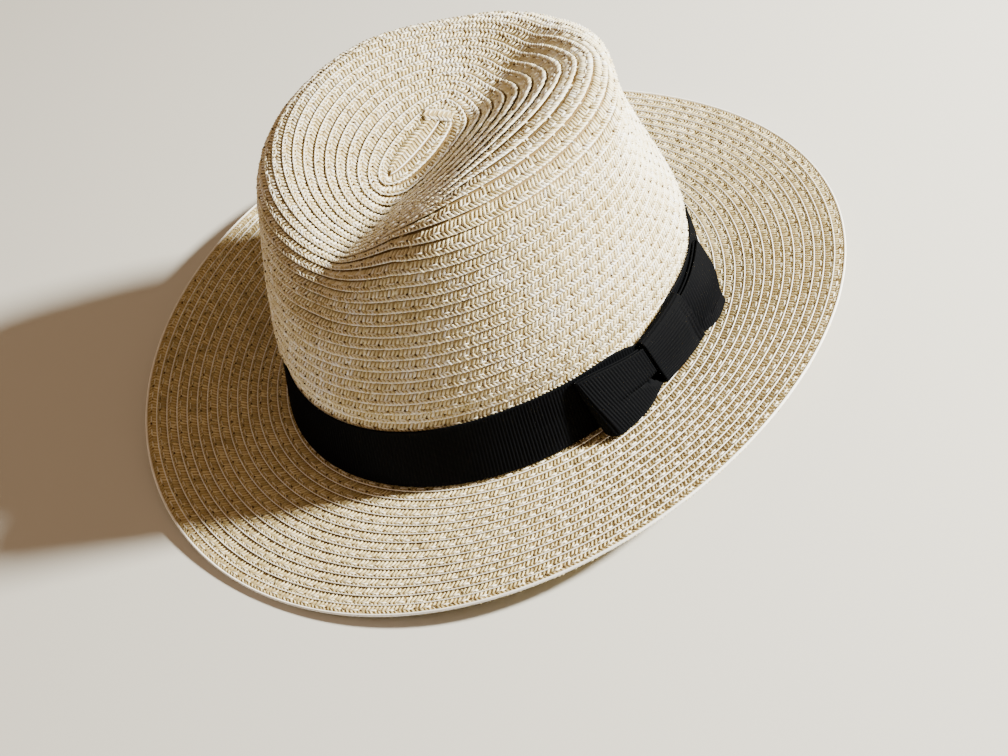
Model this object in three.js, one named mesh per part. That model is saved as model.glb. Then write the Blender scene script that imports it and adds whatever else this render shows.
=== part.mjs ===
// Straw fedora: a crown and a brim of sewn straw braid, a ribbon band and a flat ribbon bow.
// Millimetres, +Z up. The hat's front is -Y and the wearer's right, with the bow, is -X.
// The origin is the middle of the level ring round the head opening, on which the hat rests.
import * as THREE from 'three';
import { mergeVertices } from 'three/addons/utils/BufferGeometryUtils.js';

// Driving dimensions
const HEAD_LENGTH = 206; // outside of the crown where it meets the brim, front to back
const HEAD_WIDTH = 172; // and side to side
const STRAW = 2; // sewn braid, each row lapping the next
const RIBBON = 0.9; // grosgrain ribbon
const GAP = 0.3; // between neighbouring pieces

// Crown before it is dented: a leaning wall, a rounded rim and a slightly domed top
const CROWN_HEIGHT = 118; // where wall and top would meet in a sharp corner
const CROWN_DOME = 5.5; // rise from that corner to the tip
const RIM_RADIUS = 21;
const TOP_REACH = 40; // how far out from the first braid the top stays a plain top
const TIP = { left: 13.2, back: 3.6, fade: 60 }; // where the first braid lies, outer rows less so
const BULGE = { depth: 2.6, rise: 14 }; // the straw swells out above the tight band
const LEAN = { front: 12.5, flank: 8.5, back: 11 }; // degrees inwards from upright

// Centre crease, running front to back and out over the back rim as a notch
const CREASE = [
  { place: 'front', y: -75, depth: 8, halfWidth: 54, offset: -2 },
  { place: 'middle', y: 2.5, depth: 32, halfWidth: 57, offset: 4 },
  { place: 'back', y: 80, depth: 29, halfWidth: 60, offset: 5 },
];
const CREASE_STEEPER = 1.18; // how much steeper it is on the wearer's right
const SOFTNESS = { valley: 0.06, ridge: 0.16 }; // of the crease, as shares of its half width
const CREASE_FADE = { foot: 60, full: 113 }; // heights where it starts and is at full depth

// Finger pinches on both front quarters, and a wall that is fuller by the bow than behind it
const DENTS = [
  { place: 'left pinch', bearing: 46, height: 86, depth: 9, radius: 31 },
  { place: 'right pinch', bearing: -46, height: 86, depth: 9, radius: 31 },
  { place: 'by the bow', bearing: -64, height: 24, depth: -3.4, radius: 38 },
  { place: 'behind the bow', bearing: -132, height: 32, depth: 2.4, radius: 34 },
];
const DENT_FOOT = 16; // height over which they start above the brim

// Brim: level by the crown, then bent up by an amount that changes round the hat
const BRIM_WIDTH = 65;
const BRIM_LEVEL = 4; // width of the level ring that the hat rests on
const BRIM_BEND = 20; // distance from the crown where the bend is complete
const LIFT = { front: 3, flank: 13.5 }; // degrees, crown to edge; the back stays level

// Band and bow: arc runs round the band from the wearer's right, forwards; climb runs up the crown
const BAND = { low: 0.6, high: 27.6 };
const SQUEEZE = { bearing: -92, depth: 5.8, width: 7 }; // the knot draws the band's upper edge down
const BOW_LOOPS = [
  { name: 'bow_rear_loop', foldLow: -40, foldHigh: -44, mouth: 3, mouthTop: 20.8, flare: 9.8, pleat: 1 },
  { name: 'bow_front_loop', foldLow: 47, foldHigh: 53, mouth: 15, mouthTop: 24, flare: 11.2, pleat: 0 },
];
const LOOP_EDGES = { foldFoot: 1.6, foldTop: 27, mouthFoot: 3.2, narrowing: 0.9 };
const LOOP_GAP = 0.5; // between the facets of the band and of a loop
const LOOP_PRESS = 1.5; // between the two layers of a loop at its upper edge, middle to middle
const LOOP_MOUTH_FLARE = 3.6; // and at its lower edge under the knot
const LOOP_DROP = 0.15; // fall of the flared lower edge, for each millimetre out
const PLEAT = {
  lowShare: 0.4, highShare: 0.44, overlap: 2.6, sink: 1.6, edgeSink: 0.6, lift: 0.3, length: 0.8,
};
const KNOT = {
  arc: 7, width: 29, slant: 3, corner: 1.4, low: 1, highRear: 23.4, highFront: 26.8,
  outRear: 8.1, outFront: 9.3, outHigh: 3.8,
};

// Facets
const AROUND = 72;
const CROWN_RINGS = 20;
const BRIM_RINGS = 8;
const LOOP_STEPS = 7;
const FOLD_STEPS = 5;

const CORE = (HEAD_LENGTH - HEAD_WIDTH) / 2; // half the straight first stretch of braid
const REACH = HEAD_WIDTH / 2; // from that stretch to the break, the same all round
const { degToRad, clamp, lerp, smoothstep, euclideanModulo } = THREE.MathUtils;
const smooth = (t) => smoothstep(t, 0, 1);
const rounded = (t, softness) => (t + Math.hypot(t, softness)) / 2; // t where positive, else nothing
const bearings = Array.from({ length: AROUND }, (_, j) => (2 * Math.PI * j) / AROUND);

// Turn from a bearing given in degrees to another in radians, the short way round
const swing = (bearing, from) => (
  euclideanModulo(bearing - degToRad(from) + Math.PI, 2 * Math.PI) - Math.PI
);

// Inward lean of the crown wall at a bearing (0 at the front, growing towards the wearer's left)
function wallLean(bearing) {
  const end = Math.cos(bearing) > 0 ? LEAN.front : LEAN.back;
  return degToRad(lerp(LEAN.flank, end, Math.cos(bearing) ** 2));
}

// Lengths of the straight wall, the rounded rim and the straight top along one bearing
function profile(bearing) {
  const lean = wallLean(bearing);
  const cornerReach = REACH - CROWN_HEIGHT * Math.tan(lean);
  const topSlope = Math.atan2(CROWN_DOME, cornerReach);
  const turn = Math.PI / 2 - lean - topSlope;
  const tangent = RIM_RADIUS * Math.tan(turn / 2);
  const wall = CROWN_HEIGHT / Math.cos(lean) - tangent;
  const rim = RIM_RADIUS * turn;
  const top = Math.hypot(cornerReach, CROWN_DOME) - tangent;
  return { lean, topSlope, wall, rim, top, length: wall + rim + top };
}

// Distance out from the core and height of the undented crown after a climb from the brim
function crownProfile(bearing, climb) {
  const { lean, topSlope, wall, rim, length } = profile(bearing);
  let reach;
  let z;
  if (climb <= wall) {
    reach = REACH - climb * Math.sin(lean);
    z = climb * Math.cos(lean);
  } else if (climb <= wall + rim) {
    const turned = lean + (climb - wall) / RIM_RADIUS;
    const centreReach = REACH - wall * Math.sin(lean) - RIM_RADIUS * Math.cos(lean);
    const centreZ = wall * Math.cos(lean) - RIM_RADIUS * Math.sin(lean);
    reach = centreReach + RIM_RADIUS * Math.cos(turned);
    z = centreZ + RIM_RADIUS * Math.sin(turned);
  } else {
    reach = Math.max(length - climb, 0) * Math.cos(topSlope);
    z = CROWN_HEIGHT + CROWN_DOME - (length - climb) * Math.sin(topSlope);
  }
  const swell = BULGE.depth * smooth((climb - BAND.high) / BULGE.rise) * smooth(reach / TOP_REACH);
  return { reach: reach + swell, z };
}

// Depth, width and sideways place of the crease at a front-to-back position, from its table
function creaseAt(y) {
  const [front, middle, back] = CREASE;
  const t = clamp((y - front.y) / (back.y - front.y), -0.1, 1.1);
  const shares = [(1 - t) * (1 - 2 * t), 4 * t * (1 - t), t * (2 * t - 1)];
  const blend = (key) => front[key] * shares[0] + middle[key] * shares[1] + back[key] * shares[2];
  return { depth: blend('depth'), halfWidth: blend('halfWidth'), offset: blend('offset') };
}

// A point of the crown's outer face
function crownPoint(bearing, climb) {
  const { reach, z } = crownProfile(bearing, climb);
  const onWall = smooth((reach - TOP_REACH) / TOP_REACH);
  const drift = 1 - smooth(reach / TIP.fade);
  let x = TIP.left * drift + reach * Math.sin(bearing);
  let y = TIP.back * drift - (CORE + reach) * Math.cos(bearing);

  for (const dent of DENTS) {
    const along = swing(bearing, dent.bearing) * REACH;
    const fall = Math.exp(-((along / dent.radius) ** 2) - ((z - dent.height) / dent.radius) ** 2);
    const push = dent.depth * fall * onWall * smooth(z / DENT_FOOT);
    x -= push * Math.sin(bearing);
    y += push * Math.cos(bearing);
  }

  const { depth, halfWidth, offset } = creaseAt(y);
  const aside = (x - offset) / halfWidth * (x < offset ? CREASE_STEEPER : 1);
  const spread = (t) => Math.hypot(t, SOFTNESS.valley) - SOFTNESS.valley;
  const flank = rounded(1 - spread(aside) / spread(1), SOFTNESS.ridge) / rounded(1, SOFTNESS.ridge);
  const fade = smooth((z - CREASE_FADE.foot) / (CREASE_FADE.full - CREASE_FADE.foot));
  return new THREE.Vector3(x, y, STRAW + z - depth * fade * flank);
}

// A point of the brim's upper face, at a distance out from the crown
function brimPoint(bearing, out) {
  const lift = LIFT.flank * Math.sin(bearing) ** 2 + LIFT.front * ((1 + Math.cos(bearing)) / 2) ** 2;
  const slope = degToRad(lift) * BRIM_WIDTH / (BRIM_WIDTH - (BRIM_LEVEL + BRIM_BEND) / 2);
  const steps = 24;
  let reach = REACH;
  let z = STRAW;
  for (let k = 0; k < steps; k += 1) {
    const middle = out * (k + 0.5) / steps;
    const tilt = slope * clamp((middle - BRIM_LEVEL) / (BRIM_BEND - BRIM_LEVEL), 0, 1);
    reach += Math.cos(tilt) * out / steps;
    z += Math.sin(tilt) * out / steps;
  }
  return new THREE.Vector3(reach * Math.sin(bearing), -(CORE + reach) * Math.cos(bearing), z);
}

// Unit normal of a surface given by two parameters, by central differences
function normalOf(surface, u, v) {
  const du = 1e-3;
  const dv = 1e-2;
  const along = surface(u + du, v).sub(surface(u - du, v));
  const across = surface(u, v + dv).sub(surface(u, v - dv));
  return along.cross(across).normalize();
}

// Closed solid between two grids of points: the sheet's face and its back.
// A loop wraps round, and a zipped sheet closes on itself along its last row.
function slab(face, back, { loop = false, zipped = false } = {}) {
  const rows = face.length;
  const columns = face[0].length;
  const positions = [...face.flat(), ...back.flat()].flatMap((p) => [p.x, p.y, p.z]);
  const triangles = [];
  const quad = (a, b, c, d) => triangles.push(a, b, c, a, c, d);
  const front = (i, j) => i * columns + (j % columns);
  const rear = (i, j) => rows * columns + front(i, j);
  const spans = loop ? columns : columns - 1;
  for (let j = 0; j < spans; j += 1) {
    for (let i = 0; i < rows - 1; i += 1) {
      quad(front(i, j), front(i, j + 1), front(i + 1, j + 1), front(i + 1, j));
      quad(rear(i, j), rear(i + 1, j), rear(i + 1, j + 1), rear(i, j + 1));
    }
    quad(rear(0, j), rear(0, j + 1), front(0, j + 1), front(0, j));
    if (!zipped) {
      const last = rows - 1;
      quad(front(last, j), front(last, j + 1), rear(last, j + 1), rear(last, j));
    }
  }
  for (let i = 0; i < rows - 1 && !loop; i += 1) {
    const last = columns - 1;
    quad(front(i, 0), front(i + 1, 0), rear(i + 1, 0), rear(i, 0));
    quad(rear(i, last), rear(i + 1, last), front(i + 1, last), front(i, last));
  }
  const soup = new THREE.BufferGeometry();
  soup.setAttribute('position', new THREE.Float32BufferAttribute(positions, 3));
  soup.setIndex(triangles);
  const welded = mergeVertices(soup, 1e-3);
  const index = welded.getIndex().array;
  const kept = [];
  for (let k = 0; k < index.length; k += 3) {
    const [a, b, c] = index.slice(k, k + 3);
    if (a !== b && b !== c && c !== a) kept.push(a, b, c);
  }
  welded.setIndex(kept);
  return welded;
}

// Crown: the outer face climbs from the brim to the zipped tip, the inner face lies one wall inside
function crownGeometry() {
  const low = GAP;
  const outer = [];
  const inner = [];
  const climbAt = (bearing, ring) => {
    const shares = [low, BAND.high / 2, BAND.high];
    if (ring < shares.length) return shares[ring];
    const share = (ring - shares.length + 1) / CROWN_RINGS;
    return lerp(BAND.high, profile(bearing).length, share);
  };
  for (let ring = 0; ring < CROWN_RINGS + 3; ring += 1) {
    const tip = ring === CROWN_RINGS + 2;
    const points = bearings.map((bearing) => crownPoint(bearing, climbAt(bearing, ring)));
    const normals = bearings.map((bearing) => {
      const climb = climbAt(bearing, ring) - (tip ? 1 : 0);
      const normal = normalOf(crownPoint, bearing, climb);
      if (tip) normal.add(normalOf(crownPoint, -bearing, climb)).normalize();
      return normal;
    });
    outer.push(points);
    inner.push(points.map((point, j) => point.clone().addScaledVector(normals[j], -STRAW)));
  }
  inner[0].forEach((point) => { point.z = STRAW + low; });
  return slab(outer, inner, { loop: true, zipped: true });
}

// Brim: a ring from under the crown's wall to the edge, level underneath by the head opening
function brimGeometry() {
  const outs = [-STRAW, 0, BRIM_LEVEL];
  for (let ring = 1; ring < BRIM_RINGS - 1; ring += 1) {
    outs.push(lerp(BRIM_LEVEL, BRIM_WIDTH, ring / (BRIM_RINGS - 2)));
  }
  const upper = outs.map((out) => bearings.map((bearing) => brimPoint(bearing, out)));
  const lower = outs.map((out, ring) => bearings.map((bearing, j) => {
    const normal = normalOf(brimPoint, bearing, out);
    if (normal.z < 0) normal.negate();
    return upper[ring][j].clone().addScaledVector(normal, -STRAW);
  }));
  return slab(lower, upper, { loop: true });
}

// A point beside the crown's wall: climb up it, and a distance out from its face
function wallPoint(bearing, climb, out) {
  return crownPoint(bearing, climb).addScaledVector(normalOf(crownPoint, bearing, climb), out);
}

// Band: a ring of ribbon round the foot of the crown, drawn down at its upper edge by the knot
function bandGeometry() {
  const high = (bearing) => {
    const aside = swing(bearing, SQUEEZE.bearing) / degToRad(SQUEEZE.width);
    return BAND.high - SQUEEZE.depth * Math.exp(-(aside ** 2));
  };
  const ring = (out) => [0, 0.5, 1].map((share) => bearings.map((bearing) => (
    wallPoint(bearing, lerp(BAND.low, high(bearing), share), out)
  )));
  return slab(ring(GAP + RIBBON), ring(GAP), { loop: true });
}

// Bearing reached after walking a distance round the band from the wearer's right, forwards
function bearingAt(arc) {
  const steps = 30;
  const reach = REACH + GAP + RIBBON;
  let bearing = 1.5 * Math.PI;
  for (let k = 0; k < steps; k += 1) {
    bearing += (arc / steps) / Math.hypot(reach * Math.cos(bearing), (reach + CORE) * Math.sin(bearing));
  }
  return bearing;
}

// A point of the bow: along the band, up it, and out from its outer face
const bowPoint = (arc, climb, out) => wallPoint(bearingAt(arc), climb, GAP + RIBBON + out);

// Solid ribbon from a grid of (arc, climb, out) places on its middle surface
function ribbonGeometry(grid) {
  const middle = grid.map((row) => row.map(([arc, climb, out]) => bowPoint(arc, climb, out)));
  const at = (i, j) => middle[clamp(i, 0, middle.length - 1)][clamp(j, 0, middle[0].length - 1)];
  const moved = (side) => middle.map((row, i) => row.map((point, j) => {
    const along = at(i + 1, j).clone().sub(at(i - 1, j));
    const across = at(i, j + 1).clone().sub(at(i, j - 1));
    return point.clone().addScaledVector(along.cross(across).normalize(), side * RIBBON / 2);
  }));
  return slab(moved(-1), moved(1));
}

// Bow loop: out from the knot against the band, round a soft fold and back over itself, pressed flat
// at its upper edge and flared at its lower one. Stages 0 to 1 run out, 1 to 2 round, 2 to 3 back.
// A pleated loop has its lower part tucked behind its upper part at the knot.
function loopGeometry({ foldLow, foldHigh, mouth, mouthTop, flare, pleat }) {
  const inner = LOOP_GAP + RIBBON / 2;
  const way = Math.sign(foldHigh - mouth);
  const columns = [
    { share: 0, fall: 0, rise: -PLEAT.sink * PLEAT.edgeSink },
    { share: PLEAT.lowShare, fall: PLEAT.overlap / 2, rise: -PLEAT.sink },
    { share: PLEAT.highShare, fall: -PLEAT.overlap / 2, rise: PLEAT.lift },
    { share: 1, fall: 0, rise: 0 },
  ];
  const place = (stage, { share, fall, rise }) => {
    const near = stage < 1 ? 1 - stage : clamp(stage - 2, 0, 1);
    const turned = Math.PI * clamp(stage - 1, 0, 1);
    const radius = lerp(lerp(flare, LOOP_MOUTH_FLARE, smooth(near) ** 2), LOOP_PRESS, share) / 2;
    const turnArc = lerp(foldLow, foldHigh, share) - way * lerp(flare, LOOP_PRESS, share) / 2;
    const bulge = radius * (1 - Math.cos(turned));
    const low = lerp(LOOP_EDGES.foldFoot, LOOP_EDGES.mouthFoot, near);
    const high = lerp(LOOP_EDGES.foldTop, mouthTop, smooth(near / LOOP_EDGES.narrowing));
    const tuck = stage > 1 ? pleat * smooth(near / PLEAT.length) : 0;
    return [
      lerp(turnArc, mouth, near) + way * radius * Math.sin(turned),
      lerp(low, high, share) + fall * tuck - LOOP_DROP * bulge * (1 - share),
      inner + bulge + rise * tuck,
    ];
  };
  const stages = [];
  for (let k = 0; k < LOOP_STEPS; k += 1) stages.push(k / LOOP_STEPS);
  for (let k = 0; k < FOLD_STEPS; k += 1) stages.push(1 + k / FOLD_STEPS);
  for (let k = 0; k <= LOOP_STEPS; k += 1) stages.push(2 + k / LOOP_STEPS);
  const grid = stages.map((stage) => columns.map((column) => place(stage, column)));
  return way > 0 ? ribbonGeometry(grid) : ribbonGeometry(grid.map((row) => [...row].reverse()));
}

// Knot: a ribbon over the middle of the bow, turned in against the band above and below
function knotGeometry() {
  const across = [0, 0.25, 0.5, 0.75, 1];
  return ribbonGeometry(across.map((share) => {
    const high = lerp(KNOT.highRear, KNOT.highFront, share);
    const outLow = lerp(KNOT.outRear, KNOT.outFront, share);
    const path = [
      { climb: KNOT.low, out: GAP },
      { climb: KNOT.low, out: outLow - KNOT.corner },
      { climb: KNOT.low + KNOT.corner, out: outLow },
      { climb: high - KNOT.corner, out: KNOT.outHigh },
      { climb: high, out: KNOT.outHigh - KNOT.corner },
      { climb: high, out: GAP },
    ];
    return path.map(({ climb, out }) => {
      const slant = KNOT.slant * (0.5 - climb / high);
      return [KNOT.arc + (share - 0.5) * KNOT.width + slant, climb, out];
    });
  }));
}

// Materials and the assembled hat
const straw = () => new THREE.MeshStandardMaterial({ color: 0xd8ccb2, roughness: 0.75, metalness: 0 });
const ribbon = () => new THREE.MeshStandardMaterial({ color: 0x131214, roughness: 0.8, metalness: 0 });
const hat = new THREE.Group();

function addPiece(name, geometry, material) {
  const mesh = new THREE.Mesh(geometry, material);
  mesh.name = name;
  hat.add(mesh);
}

addPiece('crown', crownGeometry(), straw());
addPiece('brim', brimGeometry(), straw());
addPiece('hat_band', bandGeometry(), ribbon());
BOW_LOOPS.forEach((loop) => addPiece(loop.name, loopGeometry(loop), ribbon()));
addPiece('bow_knot', knotGeometry(), ribbon());

export default hat;
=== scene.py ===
import bpy
import numpy as np
from mathutils import Matrix


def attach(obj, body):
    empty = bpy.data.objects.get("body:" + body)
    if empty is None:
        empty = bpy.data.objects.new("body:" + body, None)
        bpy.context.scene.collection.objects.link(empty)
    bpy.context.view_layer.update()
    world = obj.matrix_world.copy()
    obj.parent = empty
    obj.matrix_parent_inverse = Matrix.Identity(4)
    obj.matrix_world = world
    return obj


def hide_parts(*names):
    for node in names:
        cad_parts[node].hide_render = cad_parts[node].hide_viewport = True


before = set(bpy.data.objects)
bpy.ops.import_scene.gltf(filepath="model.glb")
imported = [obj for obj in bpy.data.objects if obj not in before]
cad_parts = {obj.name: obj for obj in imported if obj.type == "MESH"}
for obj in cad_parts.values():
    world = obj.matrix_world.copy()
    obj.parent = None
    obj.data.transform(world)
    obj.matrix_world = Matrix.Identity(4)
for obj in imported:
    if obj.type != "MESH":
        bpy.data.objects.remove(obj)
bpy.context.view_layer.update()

# Crown: one long plait of seven straws, sewn round and round from the tip with each row lapped over the
# next one out, then steamed over a block that gives it the leaning wall, the centre crease that runs out
# over the back, and two finger pinches at the front. The crown's surface below is that block.
MM = 0.001
HEAD_LENGTH, HEAD_WIDTH = 206, 172
CORE = (HEAD_LENGTH - HEAD_WIDTH) / 2  # half the straight first stretch of plait
REACH = HEAD_WIDTH / 2  # from that stretch out to the brim, the same all round
STRAW = 2.0  # the wall
CROWN_HEIGHT, CROWN_DOME, RIM_RADIUS, TOP_REACH = 118, 5.5, 21, 40
TIP_LEFT, TIP_BACK, TIP_FADE = 13.2, 3.6, 60  # where the plait starts
SWELL, SWELL_RISE = 2.6, 14  # the straw swells out above the tight band
LEAN_FRONT, LEAN_FLANK, LEAN_BACK = 12.5, 8.5, 11  # degrees
BAND_LOW, BAND_HIGH = 0.6, 27.6
CREASE_FRONT, CREASE_BACK = -75, 80  # the table below is at these two ends and half-way
CREASE_DEPTH, CREASE_HALF, CREASE_OFFSET = (8, 32, 29), (54, 57, 60), (-2, 4, 5)
CREASE_OVERRUN = 0.1  # of its length, by which the crease runs on past both ends
CREASE_STEEPER = 1.18  # on the wearer's right
VALLEY_SOFTNESS, RIDGE_SOFTNESS = 0.06, 0.16
CREASE_FOOT, CREASE_FULL = 60, 113
# Bearing, height, depth and radius of two finger pinches, a fullness by the bow and a hollow behind it
DENTS = (46, 86, 9, 31), (-46, 86, 9, 31), (-64, 24, -3.4, 38), (-132, 32, 2.4, 34)
DENT_FOOT = 16  # height over which they start above the brim
CROWN_FOOT = 0.3  # the crown starts this far above the brim


def smooth(t):
    t = np.clip(t, 0, 1)
    return t * t * (3 - 2 * t)


def wrapped(angle):
    return (angle + np.pi) % (2 * np.pi) - np.pi


def crown_run(bearing):
    """Lean of the wall, slope of the top, and the wall's, rim's and whole length up one bearing."""
    ends = np.where(np.cos(bearing) > 0, LEAN_FRONT, LEAN_BACK)
    lean = np.radians(LEAN_FLANK + (ends - LEAN_FLANK) * np.cos(bearing) ** 2)
    corner = REACH - CROWN_HEIGHT * np.tan(lean)
    slope = np.arctan2(CROWN_DOME, corner)
    turn = np.pi / 2 - lean - slope
    tangent = RIM_RADIUS * np.tan(turn / 2)
    wall = CROWN_HEIGHT / np.cos(lean) - tangent
    rim = RIM_RADIUS * turn
    return lean, slope, wall, rim, wall + rim + np.hypot(corner, CROWN_DOME) - tangent


def crown_face(bearing, climb):
    """Points of the crown's outer face. Bearing is 0 at the front and grows to the wearer's left."""
    lean, slope, wall, rim, length = crown_run(bearing)
    turned = lean + (climb - wall) / RIM_RADIUS
    rim_reach = REACH - wall * np.sin(lean) + RIM_RADIUS * (np.cos(turned) - np.cos(lean))
    rim_z = wall * np.cos(lean) + RIM_RADIUS * (np.sin(turned) - np.sin(lean))
    left = np.maximum(length - climb, 0)
    parts = [climb <= wall, climb <= wall + rim]
    reach = np.select(parts, [REACH - climb * np.sin(lean), rim_reach], left * np.cos(slope))
    z = np.select(parts, [climb * np.cos(lean), rim_z], CROWN_HEIGHT + CROWN_DOME - left * np.sin(slope))
    reach = reach + SWELL * smooth((climb - BAND_HIGH) / SWELL_RISE) * smooth(reach / TOP_REACH)
    on_wall = smooth((reach - TOP_REACH) / TOP_REACH)
    drift = 1 - smooth(reach / TIP_FADE)
    x = TIP_LEFT * drift + reach * np.sin(bearing)
    y = TIP_BACK * drift - (CORE + reach) * np.cos(bearing)
    for dent_bearing, dent_height, dent_depth, radius in DENTS:
        along = wrapped(bearing - np.radians(dent_bearing)) * REACH
        fall = np.exp(-((along / radius) ** 2) - ((z - dent_height) / radius) ** 2)
        push = dent_depth * fall * on_wall * smooth(z / DENT_FOOT)
        x = x - push * np.sin(bearing)
        y = y + push * np.cos(bearing)
    t = (y - CREASE_FRONT) / (CREASE_BACK - CREASE_FRONT)
    t = np.clip(t, -CREASE_OVERRUN, 1 + CREASE_OVERRUN)
    shares = (1 - t) * (1 - 2 * t), 4 * t * (1 - t), t * (2 * t - 1)
    depth, half, offset = (
        sum(value * share for value, share in zip(row, shares))
        for row in (CREASE_DEPTH, CREASE_HALF, CREASE_OFFSET)
    )
    aside = (x - offset) / half * np.where(x < offset, CREASE_STEEPER, 1)
    full = np.hypot(1, VALLEY_SOFTNESS) - VALLEY_SOFTNESS
    spread = (np.hypot(aside, VALLEY_SOFTNESS) - VALLEY_SOFTNESS) / full
    flank = (1 - spread + np.hypot(1 - spread, RIDGE_SOFTNESS)) / (1 + np.hypot(1, RIDGE_SOFTNESS))
    drop = depth * smooth((z - CREASE_FOOT) / (CREASE_FULL - CREASE_FOOT)) * flank
    return np.stack([x, y, STRAW + z - drop], -1)


# Climbs at even steps along the dented surface from tip to brim. The rows are level and of one width
# up the wall; over the rim and the crease they take up how much longer or shorter the way is.
TABLE_TURNS, TABLE_STEPS = 360, 400
LEVEL_LONG, LEVEL_SHORT = 0.55, 0.35  # of a long or short way, up from the brim, that has level rows
table_bearings = np.linspace(0, 2 * np.pi, TABLE_TURNS + 1)[:, None]
even = np.linspace(0, 1, TABLE_STEPS + 1)
tip_to_foot = crown_run(table_bearings)[-1] * (1 - even) + CROWN_FOOT * even
hops = np.linalg.norm(np.diff(crown_face(table_bearings, tip_to_foot), axis=1), axis=-1)
walked = np.concatenate([np.zeros((TABLE_TURNS + 1, 1)), np.cumsum(hops, 1)], 1)
way_length = walked[:, -1:]
usual = way_length.mean()
level_share = np.where(way_length > usual, LEVEL_LONG, LEVEL_SHORT)
taken_up = smooth((1 - even - level_share) / (1 - level_share))
row_place = way_length - usual * (1 - even) - (way_length - usual) * taken_up
climb_table = np.array([np.interp(row_place[i], walked[i], tip_to_foot[i])
                        for i in range(TABLE_TURNS + 1)])


def crown_way(bearing, share):
    """Points of the crown's face at a share of the way from tip (0) to brim (1)."""
    across = (bearing % (2 * np.pi)) / (2 * np.pi) * TABLE_TURNS
    down = np.clip(share, 0, 1) * TABLE_STEPS
    i = np.minimum(across.astype(int), TABLE_TURNS - 1)
    j = np.minimum(down.astype(int), TABLE_STEPS - 1)
    a, b = across - i, down - j
    before = climb_table[i, j] * (1 - b) + climb_table[i, j + 1] * b
    after = climb_table[i + 1, j] * (1 - b) + climb_table[i + 1, j + 1] * b
    return crown_face(bearing, before * (1 - a) + after * a)


def outward_normal(way, bearing, share, share_step=0.003, bearing_step=0.01):
    """Unit normals of a surface that runs outwards with share, on its upper or outer side."""
    outwards = way(bearing, share + share_step) - way(bearing, share - share_step)
    round_hat = way(bearing + bearing_step, share) - way(bearing - bearing_step, share)
    normal = np.cross(outwards, round_hat)
    return normal / np.linalg.norm(normal, axis=-1, keepdims=True)


# The plait's own section, in rows across (0 to 1 shows, below 0 lies under the row before) and in
# millimetres off the block's face: the outer edge of each row stands up on the next one.
TAPE_ACROSS = np.array([-0.30, 0.10, 0.22, 0.60, 0.87, 0.92, 0.97, 1.015, 0.98, 0.88, 0.35, -0.30])
TAPE_OFF = np.array([-1.25, -1.20, -1.10, -0.74, -0.46, -0.12, 0.04, -0.26, -0.62, -1.00, -1.50, -1.85])
# How light the ground is: 1 where a straw turns over to make the edge, in the straw's own colour; 0.5 on the
# plait, tan as painted shade between the strands; 0 under the next edge, brown as painted shade
TAPE_LIGHT = np.array([0, 0, 0.5, 0.5, 0.5, 1, 1, 1, 0.5, 0.5, 0.5, 0.5])
# What shows of a row from outside and from inside: the first edge, the middle and the last edge
SHOWN_TOP = (0.0, 0.5, 1.0), (-1.05, -0.60, -0.14)
SHOWN_UNDER = (0.70, 0.2, -0.30), (-1.15, -1.55, -1.83)
STEP_SHARE = 0.15  # of a turn, in which a row steps out to the next; the rest of it runs level
STEP_START, STEP_END = 0.3, 0.7  # of such a step, where the whole plait starts and ends
TRIAL_SECTIONS = 240  # in a turn, to measure the plait's length by
SECTION_LENGTH, CORE_SECTION = 4.0, 1.3  # between sections of the tape, and near the tip


def row_edge(turn):
    return np.floor(turn) + smooth((turn % 1) / STEP_SHARE)


def spiral_turns(way, rows, seam, first_share, step_at):
    """Turns at which the tape gets a section, spaced by step_at millimetres along it."""
    turns = np.linspace(-1 + STEP_START * STEP_SHARE, rows - 1 + STEP_END * STEP_SHARE,
                        int(rows * TRIAL_SECTIONS))
    middle = np.clip(row_edge(turns) + 0.5, 0, rows)
    points = way(seam - 2 * np.pi * turns, first_share + (1 - first_share) * middle / rows)
    steps = np.linalg.norm(np.diff(points, axis=0), axis=-1) / step_at(turns[1:])
    counted = np.concatenate([[0], np.cumsum(steps)])
    return np.interp(np.arange(0, counted[-1], 1.0), counted, turns)


def spiral_sections(way, rows, seam, turns, first_share, across, off):
    """Points of the tape for each turn (rows of the result) and each place in its section."""
    inner = np.clip(row_edge(turns), 0, rows)[:, None]
    outer = np.clip(row_edge(turns) + 1, 0, rows)[:, None]
    share = first_share + (1 - first_share) * (inner + (outer - inner) * across) / rows
    bearing = np.broadcast_to(seam - 2 * np.pi * turns[:, None], share.shape)
    return way(bearing, share) + outward_normal(way, bearing, share) * np.asarray(off)[..., None]


def tape_faces(sections, places, first, ring=False):
    """Quads of a closed tape from its sections, with its two ends closed unless it is a ring."""
    i = np.arange(sections if ring else sections - 1)[:, None]
    k = np.arange(places)[None]
    after, beside = (i + 1) % sections, (k + 1) % places
    quads = np.stack([i * places + k, after * places + k, after * places + beside, i * places + beside], -1)
    faces = (quads.reshape(-1, 4) + first).tolist()
    if not ring:
        last = (sections - 1) * places + first
        faces += [list(range(first, first + places)), list(range(last + places - 1, last - 1, -1))]
    return faces


def add_mesh(name, points, faces, edges=()):
    """A smooth mesh object, from points in millimetres."""
    mesh = bpy.data.meshes.new(name)
    mesh.from_pydata((np.asarray(points).reshape(-1, 3) * MM).tolist(), list(edges), faces)
    mesh.shade_smooth()
    mesh.update()
    piece = bpy.data.objects.new(name, mesh)
    bpy.context.scene.collection.objects.link(piece)
    return piece


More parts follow.
